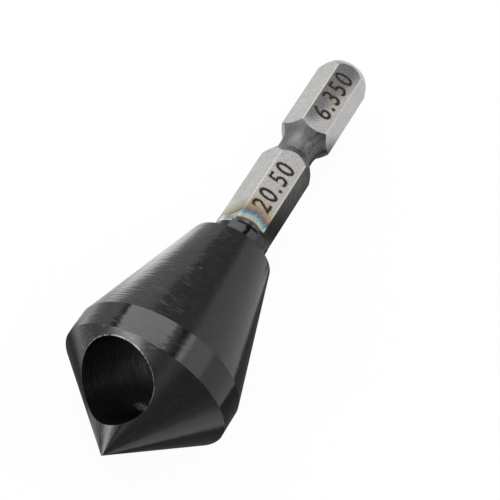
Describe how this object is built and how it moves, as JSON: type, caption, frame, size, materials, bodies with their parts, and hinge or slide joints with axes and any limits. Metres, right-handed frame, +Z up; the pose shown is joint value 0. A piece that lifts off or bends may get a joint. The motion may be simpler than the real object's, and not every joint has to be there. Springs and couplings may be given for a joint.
{
  "type": "countersink bit",
  "caption": "Cross-hole countersink and deburring bit: black conical cutting head on a hexagonal quick-change shank with a retaining groove.",
  "frame": {"origin": "on the table under the middle of the bit's length, with the bit lying as it comes to rest", "axes": "+X along the bit's length towards the shank, +Z up; one flat of the shank faces up, and the chip hole's mouth faces up, forwards and towards +Y"},
  "size_m": [0.0652, 0.0214, 0.0218],
  "materials": {
    "tool_steel": "satin black coating over fine turning marks on the head; the shank is bare ground steel"
  },
  "bodies": {
    "root": {"countersink_bit": "tool_steel"}
  },
  "joints": []
}
